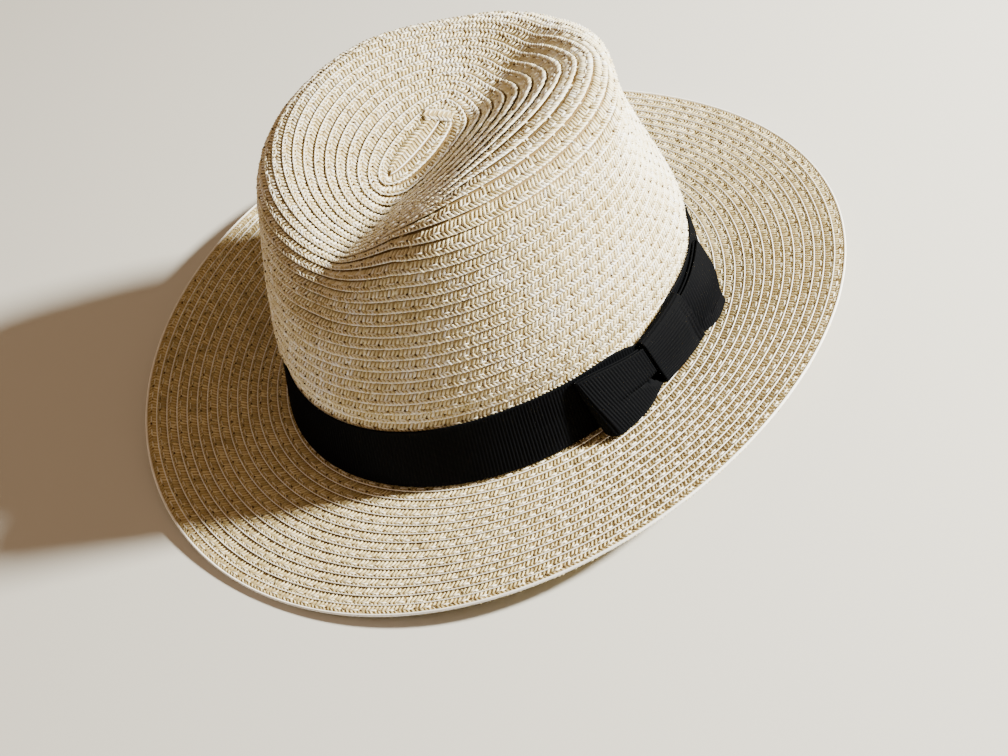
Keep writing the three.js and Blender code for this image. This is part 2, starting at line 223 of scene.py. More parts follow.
def add_tape(name, groups):
    """One mesh of several tapes, each given as its sections, its lightness and whether it is a ring."""
    points, faces, lights, count = [], [], [], 0
    for sections, light, ring in groups:
        faces += tape_faces(sections.shape[0], sections.shape[1], count, ring)
        points.append(sections.reshape(-1, 3))
        lights.append(np.tile(light, sections.shape[0]))
        count += points[-1].shape[0]
    piece = add_mesh(name, np.concatenate(points), faces)
    piece.data.attributes.new("light", "FLOAT", "POINT").data.foreach_set("value", np.concatenate(lights))
    return piece


def add_node(tree, kind, inputs=(), **settings):
    """Adds a node, sets its properties, and gives each named or numbered input a link or a value."""
    node = tree.nodes.new(kind)
    for key, value in settings.items():
        setattr(node, key, value)
    for socket, value in dict(inputs).items():
        if isinstance(value, bpy.types.NodeSocket):
            tree.links.new(value, node.inputs[socket])
        else:
            node.inputs[socket].default_value = value
    return node


def hex_colour(code):
    """Linear RGBA from an sRGB hex colour."""
    srgb = [int(code[k:k + 2], 16) / 255 for k in (1, 3, 5)]
    return [c / 12.92 if c <= 0.04045 else ((c + 0.055) / 1.055) ** 2.4 for c in srgb] + [1.0]


def new_material(name):
    """A material and its node tree, still empty."""
    material = bpy.data.materials.new(name)
    material.use_nodes = True
    material.node_tree.nodes.clear()
    return material, material.node_tree


# Bleached wheat straw, split and pressed flat before plaiting: silky along each strand, with strands from
# cream to tan side by side. The warm brown where they dive under one another is painted shade on the plait's
# ground, and the brim's strands are made darker as painted shade.
straw, finish = new_material("bleached wheat straw")
tone = add_node(finish, "ShaderNodeAttribute", attribute_name="tone")
place = add_node(finish, "ShaderNodeTexCoord")
STREAK = 22 * MM  # a straw's own colour drifts over a few centimetres of plait
drift = add_node(finish, "ShaderNodeTexNoise", {"Vector": place.outputs["Object"], "Scale": 1 / STREAK,
                 "Detail": 3.0})
blend = add_node(finish, "ShaderNodeMath", {0: tone.outputs["Fac"], 1: drift.outputs["Fac"]},
                 operation="ADD")
pale = add_node(finish, "ShaderNodeMapRange", {"Value": blend.outputs[0], "From Min": -0.3, "From Max": 1.6})
ramp = add_node(finish, "ShaderNodeValToRGB", {"Fac": pale.outputs[0]})
for stop, code in ((0.0, "#a3966c"), (0.32, "#cfc194"), (0.56, "#e9ddb8"), (0.8, "#f2e9cc"),
                   (1.0, "#f8f1dc")):
    point = ramp.color_ramp.elements[0] if stop == 0 else ramp.color_ramp.elements.new(stop)
    point.position, point.color = stop, hex_colour(code)
ramp.color_ramp.elements.remove(ramp.color_ramp.elements[-1])
FIBRE = 0.5 * MM  # straw fibres are finer; this is as fine as the render can show
fibre = add_node(finish, "ShaderNodeTexNoise", {"Vector": place.outputs["Object"], "Scale": 1 / FIBRE,
                 "Detail": 2.0})
fibre_bump = add_node(finish, "ShaderNodeBump", {"Height": fibre.outputs["Fac"], "Strength": 0.35,
                      "Distance": 0.12 * MM})
gloss = add_node(finish, "ShaderNodeMapRange", {"Value": fibre.outputs["Fac"], "To Min": 0.42,
                 "To Max": 0.62})
straw_surface = add_node(finish, "ShaderNodeBsdfPrincipled", {
    "Base Color": ramp.outputs["Color"], "Roughness": gloss.outputs[0], "Normal": fibre_bump.outputs[0],
    "IOR": 1.5, "Specular IOR Level": 0.4, "Sheen Weight": 0.1})
add_node(finish, "ShaderNodeOutputMaterial", {"Surface": straw_surface.outputs[0]})

# The plait's ground between the strands: the same straw, cream in its own colour where a straw turns over to
# make the edge, tan as painted shade between the strands on the plait, and brown as painted shade in the
# corner under the next edge.
ground, finish = new_material("straw plait ground")
place = add_node(finish, "ShaderNodeTexCoord")
PATCH = 6 * MM  # darker and lighter patches are about as long as a row is wide
patch = add_node(finish, "ShaderNodeTexNoise", {"Vector": place.outputs["Object"], "Scale": 1 / PATCH,
                 "Detail": 4.0})
lightness = add_node(finish, "ShaderNodeAttribute", attribute_name="light")
shade = add_node(finish, "ShaderNodeValToRGB", {"Fac": lightness.outputs["Fac"]})
for stop, code in ((0.0, "#846d45"), (0.5, "#ab9668"), (1.0, "#e0d1a2")):
    point = shade.color_ramp.elements[0] if stop == 0 else shade.color_ramp.elements.new(stop)
    point.position, point.color = stop, hex_colour(code)
shade.color_ramp.elements.remove(shade.color_ramp.elements[-1])
dusk = add_node(finish, "ShaderNodeMapRange", {"Value": patch.outputs["Fac"], "To Min": 0.75,
                "To Max": 1.2})
shade = add_node(finish, "ShaderNodeVectorMath", {0: shade.outputs["Color"],
                 "Scale": dusk.outputs[0]}, operation="SCALE")
ground_bump = add_node(finish, "ShaderNodeBump", {"Height": patch.outputs["Fac"], "Strength": 0.3,
                       "Distance": 0.2 * MM})
ground_surface = add_node(finish, "ShaderNodeBsdfPrincipled", {
    "Base Color": shade.outputs[0], "Roughness": 0.7, "Normal": ground_bump.outputs[0], "IOR": 1.5,
    "Specular IOR Level": 0.3})
add_node(finish, "ShaderNodeOutputMaterial", {"Surface": ground_surface.outputs[0]})


# Strands are laid by a node tree along the middle of each row: at every chevron one long strand on the
# row's inner side and one short strand on its outer side, both leaning back from the stitch line.
CHEVRON = 1.65  # along the row
STITCH = 7.2  # between needle holes
HOLE_REACH = 0.12  # of that length, either side of a hole, where the strands dip towards it
THINNEST, PLUMPEST = 0.8, 1.15  # heights of strands, times the usual


def ridge_shape(name, start, end, left, taper, low, high):
    """A strand or a thread as a low closed ridge from start to end, left being half its width sideways.
    Along the row (x) it is in millimetres, and across the row (y) in row widths."""
    start, end, left = (np.array(place, float) for place in (start, end, left))
    flat = [start + left, start - left, end + left, end - left]
    flat += [start + (end - start) * taper, end + (start - end) * taper]
    points = [(x, y / MM, low if k < 4 else high) for k, (x, y) in enumerate(flat)]
    return add_mesh(name, points, [(0, 4, 5, 2), (3, 5, 4, 1), (1, 4, 0), (2, 5, 3), (0, 2, 3, 1)])


strands = bpy.data.node_groups.new("lay straw strands", "GeometryNodeTree")
for title, kind in (("Path", "Geometry"), ("Inner strand", "Object"), ("Outer strand", "Object"),
                    ("Spacing", "Float"), ("Hole spacing", "Float"), ("Hole depth", "Float"),
                    ("Looseness", "Float"), ("Paleness", "Float"), ("Seed", "Int"), ("Straw", "Material")):
    strands.interface.new_socket(title, in_out="INPUT", socket_type="NodeSocket" + kind)
strands.interface.new_socket("Strands", in_out="OUTPUT", socket_type="NodeSocketGeometry")
given = add_node(strands, "NodeGroupInput").outputs
line = add_node(strands, "GeometryNodeMeshToCurve", {"Mesh": given["Path"]})
line = add_node(strands, "GeometryNodeResampleCurve", {"Curve": line.outputs[0], "Length": given["Spacing"]},
                mode="LENGTH")
ahead = add_node(strands, "GeometryNodeInputTangent").outputs[0]
outward = add_node(strands, "GeometryNodeInputNamedAttribute", {"Name": "outward"},
                   data_type="FLOAT_VECTOR").outputs[0]
row_width = add_node(strands, "GeometryNodeInputNamedAttribute", {"Name": "row_width"},
                     data_type="FLOAT").outputs[0]
along = add_node(strands, "GeometryNodeSplineParameter").outputs["Length"]
phase = add_node(strands, "ShaderNodeMath", {0: along, 1: given["Hole spacing"]}, operation="DIVIDE")
phase = add_node(strands, "ShaderNodeMath", {0: phase.outputs[0], 1: 0.5}, operation="PINGPONG")
dip = add_node(strands, "ShaderNodeMapRange", {"Value": phase.outputs[0], "From Min": HOLE_REACH,
               "From Max": 0.0, "To Max": given["Hole depth"]}, interpolation_type="SMOOTHSTEP")
down = add_node(strands, "ShaderNodeVectorMath", {0: outward, 1: ahead}, operation="CROSS_PRODUCT")
sink = add_node(strands, "ShaderNodeVectorMath", {0: down.outputs[0], "Scale": dip.outputs[0]},
                operation="SCALE")
line = add_node(strands, "GeometryNodeSetPosition", {"Geometry": line.outputs[0], "Offset": sink.outputs[0]})
turned = add_node(strands, "FunctionNodeAxesToRotation", {0: ahead, 1: outward}, primary_axis="X",
                  secondary_axis="Y")
laid = add_node(strands, "GeometryNodeJoinGeometry")
for column, seed_gap in (("Inner strand", 0.0), ("Outer strand", 4.0)):
    seed = add_node(strands, "ShaderNodeMath", {0: given["Seed"], 1: seed_gap}, operation="ADD").outputs[0]
    loose = add_node(strands, "ShaderNodeMath", {0: given["Looseness"], 1: -1.0}, operation="MULTIPLY")
    wobble = add_node(strands, "FunctionNodeRandomValue", {0: loose.outputs[0], 1: given["Looseness"],
                      "Seed": seed}, data_type="FLOAT_VECTOR")
    nudge = add_node(strands, "FunctionNodeEulerToRotation", {0: wobble.outputs[0]})
    facing = add_node(strands, "FunctionNodeRotateRotation", {0: turned.outputs[0], 1: nudge.outputs[0]},
                      rotation_space="LOCAL")
    next_seed = add_node(strands, "ShaderNodeMath", {0: seed, 1: 1.0}, operation="ADD").outputs[0]
    plump = add_node(strands, "FunctionNodeRandomValue", {2: THINNEST, 3: PLUMPEST, "Seed": next_seed})
    size = add_node(strands, "ShaderNodeCombineXYZ", {"X": 1.0, "Y": row_width, "Z": plump.outputs[1]})
    shape = add_node(strands, "GeometryNodeObjectInfo", {"Object": given[column]})
    copies = add_node(strands, "GeometryNodeInstanceOnPoints", {
        "Points": line.outputs[0], "Instance": shape.outputs["Geometry"], "Rotation": facing.outputs[0],
        "Scale": size.outputs[0]})
    last_seed = add_node(strands, "ShaderNodeMath", {0: seed, 1: 2.0}, operation="ADD").outputs[0]
    shade = add_node(strands, "FunctionNodeRandomValue", {2: 0.0, 3: 1.0, "Seed": last_seed})
    shade = add_node(strands, "ShaderNodeMath", {0: shade.outputs[1], 1: given["Paleness"]}, operation="ADD")
    toned = add_node(strands, "GeometryNodeStoreNamedAttribute", {
        "Geometry": copies.outputs[0], "Name": "tone", "Value": shade.outputs[0]}, data_type="FLOAT",
        domain="INSTANCE")
    strands.links.new(toned.outputs[0], laid.inputs[0])
real = add_node(strands, "GeometryNodeRealizeInstances", {"Geometry": laid.outputs[0]})
painted = add_node(strands, "GeometryNodeSetMaterial", {"Geometry": real.outputs[0],
                   "Material": given["Straw"]})
add_node(strands, "NodeGroupOutput", {0: painted.outputs[0]})


def path_mesh(name, paths):
    """Open lines for a node tree. Each is (inner edge, middle, outer edge) of what shows of a row."""
    points, outwards, widths, edges, count = [], [], [], [], 0
    for inner, middle, outer in paths:
        points.append(middle)
        width = np.linalg.norm(outer - inner, axis=-1)
        outwards.append((outer - inner) / np.maximum(width, 1e-6)[:, None])
        widths.append(width)
        edges += [(count + i, count + i + 1) for i in range(len(inner) - 1)]
        count += len(inner)
    piece = add_mesh(name, np.concatenate(points), [], edges)
    vectors = piece.data.attributes.new("outward", "FLOAT_VECTOR", "POINT")
    vectors.data.foreach_set("vector", np.concatenate(outwards).ravel())
    sizes = piece.data.attributes.new("row_width", "FLOAT", "POINT")
    sizes.data.foreach_set("value", np.concatenate(widths) * MM)
    return piece


def run_tree(piece, tree, **values):
    """Gives a piece what a node tree makes of it, as a plain mesh with no modifier left."""
    modifier = piece.modifiers.new(tree.name, "NODES")
    modifier.node_group = tree
    for item in tree.interface.items_tree:
        key = item.name.replace(" ", "_").lower()
        if item.in_out == "INPUT" and key in values:
            modifier[item.identifier] = values[key]
    bpy.context.view_layer.update()
    shown = piece.evaluated_get(bpy.context.evaluated_depsgraph_get())
    made = bpy.data.meshes.new_from_object(shown)
    piece.modifiers.clear()
    plain, piece.data = piece.data, made
    bpy.data.meshes.remove(plain)
    made.name = piece.name


def row_lines(rows, turns, across, off):
    return rows(turns, np.array(across), np.array(off)).transpose(1, 0, 2)


def finish_piece(piece, slot, *nodes):
    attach(piece, "root")
    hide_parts(*nodes)


DIP_OUTSIDE, DIP_INSIDE = 0.2, 0.28  # of the strands at a needle hole, on the hat's two sides
LOOSENESS = 0.07  # radians that a strand may turn out of line


def add_straws(name, slot, node, lines, shapes, dip, seed, paleness=0.0):
    """The strands that show along some rows, as one piece."""
    straws = path_mesh(name, lines)
    run_tree(straws, strands, inner_strand=shapes[0], outer_strand=shapes[1], spacing=CHEVRON * MM,
             hole_spacing=STITCH * MM, hole_depth=dip * MM, looseness=LOOSENESS, paleness=paleness,
             seed=seed, straw=straw)
    finish_piece(straws, slot, node)


crown_strands = (
    ridge_shape("inner strand", start=(-1.15, -0.36), end=(0.05, 0.17), left=(-0.60, 0), taper=0.2,
                low=-0.25, high=0.56),
    ridge_shape("outer strand", start=(0.05, 0.13), end=(-1.42, 0.53), left=(-0.62, 0), taper=0.12,
                low=-0.25, high=0.56))

CROWN_ROWS = 34
CROWN_SEAM = 0.0  # the plait starts at the front end of the core
CORE_TURNS = 8  # in which the sections spread out from the tip
core_share = 0.5 / (CROWN_ROWS + 0.5)  # the first straight stretch of plait is half a row either way
crown_turns = spiral_turns(
    crown_way, CROWN_ROWS, CROWN_SEAM, core_share,
    lambda turn: CORE_SECTION + (SECTION_LENGTH - CORE_SECTION) * smooth(turn / CORE_TURNS))


def crown_rows(turns, across, off):
    return spiral_sections(crown_way, CROWN_ROWS, CROWN_SEAM, turns, core_share, across, off)


# The first stretch lies over the first row, with a round end front and back
CORE_END, CORE_SECTIONS = 12, 28  # degrees by which it stops short of both ends, and its sections
CORE_MIDDLE, CORE_LEVEL = 0.02, 0.012  # least shares from its middle, for a point and for its normal
core_bearings = np.radians(np.linspace(180 - CORE_END, CORE_END, CORE_SECTIONS))
CORE_ACROSS = np.array([-1.10, -1.02, -0.92, -0.85, 0.0, 0.85, 1.10, 0.6, 0.0, -0.6])
CORE_OFF = np.array([-0.35, 0.10, 0.14, -0.12, 0.02, -0.12, -0.45, -1.0, -1.1, -1.0])
# Its ground: cream in the straw's own colour along one edge, tan as painted shade between the strands
# elsewhere
CORE_LIGHT = np.array([1, 1, 1, 0.5, 0.5, 0.5, 0.5, 0.5, 0.5, 0.5])
CORE_TOP = (-1.18, 0.10, 1.38), (-0.05, 0.0, -0.05)  # what shows of it, as in SHOWN_TOP


def core_sections(across, off):
    across = np.asarray(across, float)
    bearing = np.where(across < 0, -core_bearings[:, None], core_bearings[:, None])
    share = np.broadcast_to(np.maximum(np.abs(across), CORE_MIDDLE) * core_share, bearing.shape)
    normal = outward_normal(crown_way, bearing, np.maximum(share, CORE_LEVEL))
    return crown_way(bearing, share) + normal * np.asarray(off)[:, None]


# Before it, the plait's cut end lies across the front of the first stretch and doubles back into it
END_LENGTH, END_WIDTH, END_BEARING = 9.3, 4.6, np.radians(125)  # bearing that the cut end points to
END_TUCK, END_SECTIONS = 1.2, 15  # how much more of it is tucked under, and its sections
END_FRONT, END_RIGHT = 0.5, 3.7  # how far before and beside the first stretch it lies
END_ACROSS = np.array([-1.0, -0.85, -0.5, 0.0, 0.5, 0.85, 1.0, 0.6, 0.0, -0.6])
END_OFF = np.array([0.45, 0.95, 0.9, 1.0, 0.9, 0.95, 0.45, 0.0, 0.0, 0.0])
# Its ground: tan as painted shade on top, cream in the straw's own colour at its edges, brown as painted
# shade underneath
END_LIGHT = np.array([0.8, 0.8, 0.5, 0.5, 0.5, 1, 1, 0, 0, 0])
END_TOP = (-0.9, 0.0, 0.9), (0.8, 0.9, 0.8)
END_SHARE = 0.13  # it lies within this share of the way down from the tip
tip_bearings, tip_shares = np.meshgrid(np.linspace(0, 2 * np.pi, 721), np.linspace(0, END_SHARE, 100))
near_tip = crown_way(tip_bearings, tip_shares).reshape(-1, 3)


def end_sections(across, off):
    forwards = np.array([np.sin(END_BEARING), -np.cos(END_BEARING)])
    aside = np.array([-forwards[1], forwards[0]])
    along = np.linspace(-END_TUCK, END_LENGTH, END_SECTIONS)[:, None, None]
    plan = (TIP_LEFT - END_RIGHT, TIP_BACK - CORE - END_FRONT) + along * forwards
    plan = plan + np.asarray(across, float)[None, :, None] * END_WIDTH / 2 * aside
    nearest = np.argmin(((plan[:, :, None] - near_tip[None, None, :, :2]) ** 2).sum(-1), -1)
    return np.concatenate([plan, (near_tip[nearest, 2] + np.asarray(off))[..., None]], -1)


crown_tape = add_tape("crown_plait", [(crown_rows(crown_turns, TAPE_ACROSS, TAPE_OFF), TAPE_LIGHT, False),
                                      (core_sections(CORE_ACROSS, CORE_OFF), CORE_LIGHT, False),
                                      (end_sections(END_ACROSS, END_OFF), END_LIGHT, False)])
crown_tape.data.materials.append(ground)
finish_piece(crown_tape, "straw_braid_crown", "crown")

# Outside, strands stop behind the band, this far below its top; inside the hat they run on to the brim
BEHIND_BAND = 11
upwards = (1 - even)[::-1]
behind_band = np.interp(BAND_HIGH - BEHIND_BAND, crown_run(np.array([0.0]))[-1] * upwards, upwards)
shown_turns = crown_turns[row_edge(crown_turns) < (1 - behind_band) * CROWN_ROWS]
crown_lines = row_lines(crown_rows, shown_turns, *SHOWN_TOP)
core_top = core_sections(*CORE_TOP).transpose(1, 0, 2)
end_top = end_sections(*END_TOP).transpose(1, 0, 2)
add_straws("crown_straws", "straw_braid_crown", "crown", [crown_lines, core_top, end_top], crown_strands,
           DIP_OUTSIDE, seed=11)
add_straws("crown_straws_inside", "straw_braid_crown", "crown",
           [row_lines(crown_rows, crown_turns, *SHOWN_UNDER)], crown_strands, DIP_INSIDE, seed=31)

# Brim: the same plait carried on outwards from the foot of the crown, level beside it and then turned up
# at the sides. The last row is a ring of plait sewn on flat, and its outer edge is the brim's pale rim.
BRIM_WIDTH, BRIM_LEVEL, BRIM_BEND = 65, 4, 20
LIFT_FRONT, LIFT_FLANK = 3, 13.5  # degrees, crown to edge; the back stays level
EDGE_ROW, EDGE_LAP, EDGE_SECTIONS = 6.4, 1.6, 260  # the last row's width, lap and sections
BRIM_ROWS = 14
BRIM_SEAM = np.radians(120)


def brim_face(bearing, out):
    """Points of the brim's upper face at a distance out from the crown."""
    lift = LIFT_FLANK * np.sin(bearing) ** 2 + LIFT_FRONT * ((1 + np.cos(bearing)) / 2) ** 2
    slope = np.radians(lift) * BRIM_WIDTH / (BRIM_WIDTH - (BRIM_LEVEL + BRIM_BEND) / 2) + 1e-6
    bend = BRIM_BEND - BRIM_LEVEL
    tilt = slope * np.clip((out - BRIM_LEVEL) / bend, 0, 1)
    beyond = np.maximum(out - BRIM_BEND, 0)
    reach = REACH + np.minimum(out, BRIM_LEVEL) + bend / slope * np.sin(tilt) + beyond * np.cos(tilt)
    z = STRAW + bend / slope * (1 - np.cos(tilt)) + beyond * np.sin(tilt)
    return np.stack([reach * np.sin(bearing), -(CORE + reach) * np.cos(bearing), z], -1)


def brim_way(bearing, share):
    """Points of the brim's face at a share of the way from under the crown to under the edge row."""
    return brim_face(bearing, -STRAW + share * (BRIM_WIDTH - EDGE_ROW + EDGE_LAP + STRAW))


def brim_rows(turns, across, off):
    return spiral_sections(brim_way, BRIM_ROWS, BRIM_SEAM, turns, 0.0, across, off)


def edge_row(across, off):
    """The edge row, as a ring. Across runs from -1 at its inner edge to 1 at the brim's edge."""
    across, off = np.asarray(across, float), np.asarray(off, float)
    bearing = np.linspace(2 * np.pi, 0, EDGE_SECTIONS, endpoint=False)[:, None] + 0 * across
    out = BRIM_WIDTH - EDGE_ROW / 2 + across * EDGE_ROW / 2 + 0 * bearing
    return brim_face(bearing, out) + outward_normal(brim_face, bearing, out, share_step=0.1) * off[..., None]


EDGE_ACROSS = np.array([-0.97, -0.65, 0.0, 0.65, 0.80, 0.92, 1.0, 0.92, 0.80, 0.0, -0.65])
EDGE_OFF = np.array([-0.90, -0.70, -0.56, -0.52, -0.06, 0.05, -0.55, -1.25, -1.40, -1.50, -1.2])
# Its ground: brown as painted shade at its inner edge under the row before, tan as painted shade between the
# strands, cream in the straw's own colour round the rim
EDGE_LIGHT = np.array([0, 0.5, 0.5, 0.5, 1, 1, 1, 1, 1, 0.5, 0.5])
EDGE_TOP = (-0.92, -0.06, 0.80), (-0.72, -0.58, -0.46)
EDGE_UNDER = (0.98, 0.0, -0.92), (-1.2, -1.45, -1.3)
# The brim's rows are pressed flatter, and each outer edge stands clear of the strands beside it
BRIM_OFF = np.array([-0.94, -0.90, -0.86, -0.78, -0.70, -0.20, 0.00, -0.26, -0.62, -1.00, -1.50, -1.85])
BRIM_TOP = (0.0, 0.5, 1.0), (-0.88, -0.74, -0.56)
BRIM_UNDER = (0.70, 0.2, -0.30), (-1.02, -1.34, -1.56)
BRIM_PAINTED_SHADE = -0.7  # painted shade: the brim's strands darker than the crown's, standing in for the low light that grazes the brim
brim_strands = (
    ridge_shape("brim inner strand", start=(-1.40, -0.49), end=(0.05, 0.17), left=(-0.60, 0), taper=0.1,
                low=-0.25, high=0.46),
    ridge_shape("brim outer strand", start=(0.05, 0.13), end=(-1.20, 0.41), left=(-0.60, 0), taper=0.16,
                low=-0.25, high=0.44))
brim_turns = spiral_turns(brim_way, BRIM_ROWS, BRIM_SEAM, 0.0, lambda turn: SECTION_LENGTH + 0 * turn)
brim_tape = add_tape("brim_plait", [(brim_rows(brim_turns, TAPE_ACROSS, BRIM_OFF), TAPE_LIGHT, False),
                                    (edge_row(EDGE_ACROSS, EDGE_OFF), EDGE_LIGHT, True)])
brim_tape.data.materials.append(ground)
finish_piece(brim_tape, "straw_braid_brim", "brim")


def edge_lines(across, off):
    ring = edge_row(across, off)
    return np.concatenate([ring, ring[:1]]).transpose(1, 0, 2)


brim_lines = [row_lines(brim_rows, brim_turns, *BRIM_TOP), edge_lines(*EDGE_TOP)]
under_lines = [row_lines(brim_rows, brim_turns, *BRIM_UNDER), edge_lines(*EDGE_UNDER)]
add_straws("brim_straws", "straw_braid_brim", "brim", brim_lines, brim_strands, DIP_OUTSIDE, seed=51,
           paleness=BRIM_PAINTED_SHADE)
add_straws("brim_straws_underneath", "straw_braid_brim", "brim", under_lines, brim_strands, DIP_INSIDE,
           seed=71, paleness=BRIM_PAINTED_SHADE)

# Stitching: one line of cream cotton lockstitch holds each row to the next, in long dashes on top, and goes
# down between the straws through needle holes, shown as small raised specks of painted shadow.
STITCH_DASH = 3.4
STITCH_LINE = 0.14  # out from a row's middle, in row widths

# Soft spun sewing cotton: off-white and matt, with a twist that breaks up the light along it.
TWIST = 0.6 * MM  # the real twist is finer; this is as fine as the render can show
cotton, finish = new_material("cream sewing cotton")
place = add_node(finish, "ShaderNodeTexCoord")
twist = add_node(finish, "ShaderNodeTexNoise", {"Vector": place.outputs["Object"], "Scale": 1 / TWIST,
                 "Detail": 2.0})
cream = add_node(finish, "ShaderNodeMix", {0: twist.outputs["Fac"], 6: hex_colour("#efe8d6"),
                 7: hex_colour("#faf6ea")}, data_type="RGBA")
twist_bump = add_node(finish, "ShaderNodeBump", {"Height": twist.outputs["Fac"], "Strength": 0.3,
                      "Distance": 0.1 * MM})
cotton_surface = add_node(finish, "ShaderNodeBsdfPrincipled", {
    "Base Color": cream.outputs[2], "Roughness": 0.6, "Normal": twist_bump.outputs[0], "IOR": 1.5})
add_node(finish, "ShaderNodeOutputMaterial", {"Surface": cotton_surface.outputs[0]})
dash = ridge_shape("dash", start=(-STITCH_DASH / 2, STITCH_LINE), end=(STITCH_DASH / 2, STITCH_LINE),
                   left=(0, 0.06), taper=0.12, low=0.0, high=0.66)
hole = ridge_shape("hole", start=(-3.3, STITCH_LINE), end=(-2.3, STITCH_LINE), left=(0, 0.07), taper=0.3,
                   low=0.0, high=0.58)

# Painted shadow of a needle hole: a brown, matt speck raised on the plait where the hole is.
shadowed = bpy.data.materials.new("straw in a needle hole")
shadowed.use_nodes = True
hole_surface = shadowed.node_tree.nodes["Principled BSDF"].inputs
hole_surface["Base Color"].default_value = hex_colour("#503b20")
hole_surface["Roughness"].default_value = 0.9
for slot, node, lines in (("straw_braid_crown", "crown", [crown_lines]),
                          ("straw_braid_brim", "brim", brim_lines)):
    for kind, shape, looseness, seed, material in (("_stitches", dash, 0.03, 91, cotton),
                                                   ("_needle_holes", hole, 0.1, 95, shadowed)):
        sewn = path_mesh(node + kind, lines)
        run_tree(sewn, strands, inner_strand=shape, spacing=STITCH * MM, hole_spacing=STITCH * MM,
                 hole_depth=0.0, looseness=looseness, seed=seed, straw=material)
        finish_piece(sewn, slot, node)
for shape in (*crown_strands, *brim_strands, dash, hole):
    bpy.data.objects.remove(shape)

# Band: a black grosgrain ribbon, 27 mm wide, drawn tight round the foot of the crown and tacked there.
# Grosgrain has ribs across its width and a narrow smooth selvedge along both edges.
RIBBON, GAP = 0.9, 0.3
RIB, RIB_HEIGHT = 1.4, 0.2  # between ribs, drawn coarse enough to show, and up or down from the middle
RIB_SECTIONS = 4  # of the ribbon's mesh to a rib
SQUEEZE_BEARING, SQUEEZE_DEPTH, SQUEEZE_WIDTH = -92, 5.8, 7  # the knot draws the upper edge down

# Black grosgrain of matt rayon: nearly black, with almost no shine, and a little paler where it is worn.
THREAD, WEAR = 0.45 * MM, 14 * MM  # the thread is drawn coarser than it is, so that it shows
grosgrain, finish = new_material("black rayon grosgrain")
place = add_node(finish, "ShaderNodeTexCoord")
thread = add_node(finish, "ShaderNodeTexNoise", {"Vector": place.outputs["Object"], "Scale": 1 / THREAD,
                  "Detail": 2.0})
wear = add_node(finish, "ShaderNodeTexNoise", {"Vector": place.outputs["Object"], "Scale": 1 / WEAR,
                "Detail": 3.0})
black = add_node(finish, "ShaderNodeMix", {0: wear.outputs["Fac"], 6: hex_colour("#020306"),
                 7: hex_colour("#05060a")}, data_type="RGBA")
silk = add_node(finish, "ShaderNodeMapRange", {"Value": thread.outputs["Fac"], "To Min": 0.65,
                "To Max": 0.9})
thread_bump = add_node(finish, "ShaderNodeBump", {"Height": thread.outputs["Fac"],
                       "Strength": 0.3, "Distance": 0.1 * MM})
grosgrain_surface = add_node(finish, "ShaderNodeBsdfPrincipled", {
    "Base Color": black.outputs[2], "Roughness": silk.outputs[0], "Normal": thread_bump.outputs[0],
    "IOR": 1.5, "Specular IOR Level": 0.05})
add_node(finish, "ShaderNodeOutputMaterial", {"Surface": grosgrain_surface.outputs[0]})

ribs = bpy.data.node_groups.new("raise ribbon ribs", "GeometryNodeTree")
for title, kind in (("Ribbon", "Geometry"), ("Rib spacing", "Float"), ("Rib height", "Float"),
                    ("Cloth", "Material")):
    ribs.interface.new_socket(title, in_out="INPUT", socket_type="NodeSocket" + kind)
ribs.interface.new_socket("Ribbed ribbon", in_out="OUTPUT", socket_type="NodeSocketGeometry")
given = add_node(ribs, "NodeGroupInput").outputs
along = add_node(ribs, "GeometryNodeInputNamedAttribute", {"Name": "along"}, data_type="FLOAT").outputs[0]
field = add_node(ribs, "GeometryNodeInputNamedAttribute", {"Name": "field"}, data_type="FLOAT").outputs[0]
turns = add_node(ribs, "ShaderNodeMath", {0: along, 1: given["Rib spacing"]}, operation="DIVIDE")
angle = add_node(ribs, "ShaderNodeMath", {0: turns.outputs[0], 1: 2 * np.pi}, operation="MULTIPLY")
wave = add_node(ribs, "ShaderNodeMath", {0: angle.outputs[0]}, operation="COSINE")
held = add_node(ribs, "ShaderNodeMath", {0: wave.outputs[0], 1: field}, operation="MULTIPLY")
rise = add_node(ribs, "ShaderNodeMath", {0: held.outputs[0], 1: given["Rib height"]}, operation="MULTIPLY")
off = add_node(ribs, "ShaderNodeVectorMath", {0: add_node(ribs, "GeometryNodeInputNormal").outputs[0],
               "Scale": rise.outputs[0]}, operation="SCALE")
raised = add_node(ribs, "GeometryNodeSetPosition", {"Geometry": given["Ribbon"], "Offset": off.outputs[0]})
real = add_node(ribs, "GeometryNodeRealizeInstances", {"Geometry": raised.outputs[0]})
dyed = add_node(ribs, "GeometryNodeSetMaterial", {"Geometry": real.outputs[0], "Material": given["Cloth"]})
add_node(ribs, "NodeGroupOutput", {0: dyed.outputs[0]})


def beside_crown(bearing, climb, out):
    """Points at a distance out from the crown's face. A climb runs inwards, so its step is negative."""
    normal = outward_normal(crown_face, bearing, climb, share_step=-0.05, bearing_step=0.002)
    return crown_face(bearing, climb) + normal * np.asarray(out)[..., None]


def ribbon_mesh(name, middle, along, field, half, ring=False):
    """A closed ribbon from its middle surface (rows along it, columns across) and its half thickness."""
    ahead = np.roll(middle, -1, 0) - np.roll(middle, 1, 0) if ring else np.gradient(middle, axis=0)
    normal = np.cross(ahead, np.gradient(middle, axis=1))
    normal = normal / np.linalg.norm(normal, axis=-1, keepdims=True) * half[None, :, None]
    loops = np.concatenate([middle + normal, (middle - normal)[:, ::-1]], 1)
    piece = add_mesh(name, loops, tape_faces(loops.shape[0], loops.shape[1], 0, ring))
    both = np.concatenate([field, field[::-1]])
    for key, values in (("along", np.broadcast_to(np.asarray(along)[:, None], loops.shape[:2]) * MM),
                        ("field", np.broadcast_to(both, loops.shape[:2]))):
        piece.data.attributes.new(key, "FLOAT", "POINT").data.foreach_set("value", np.ravel(values))
    return piece


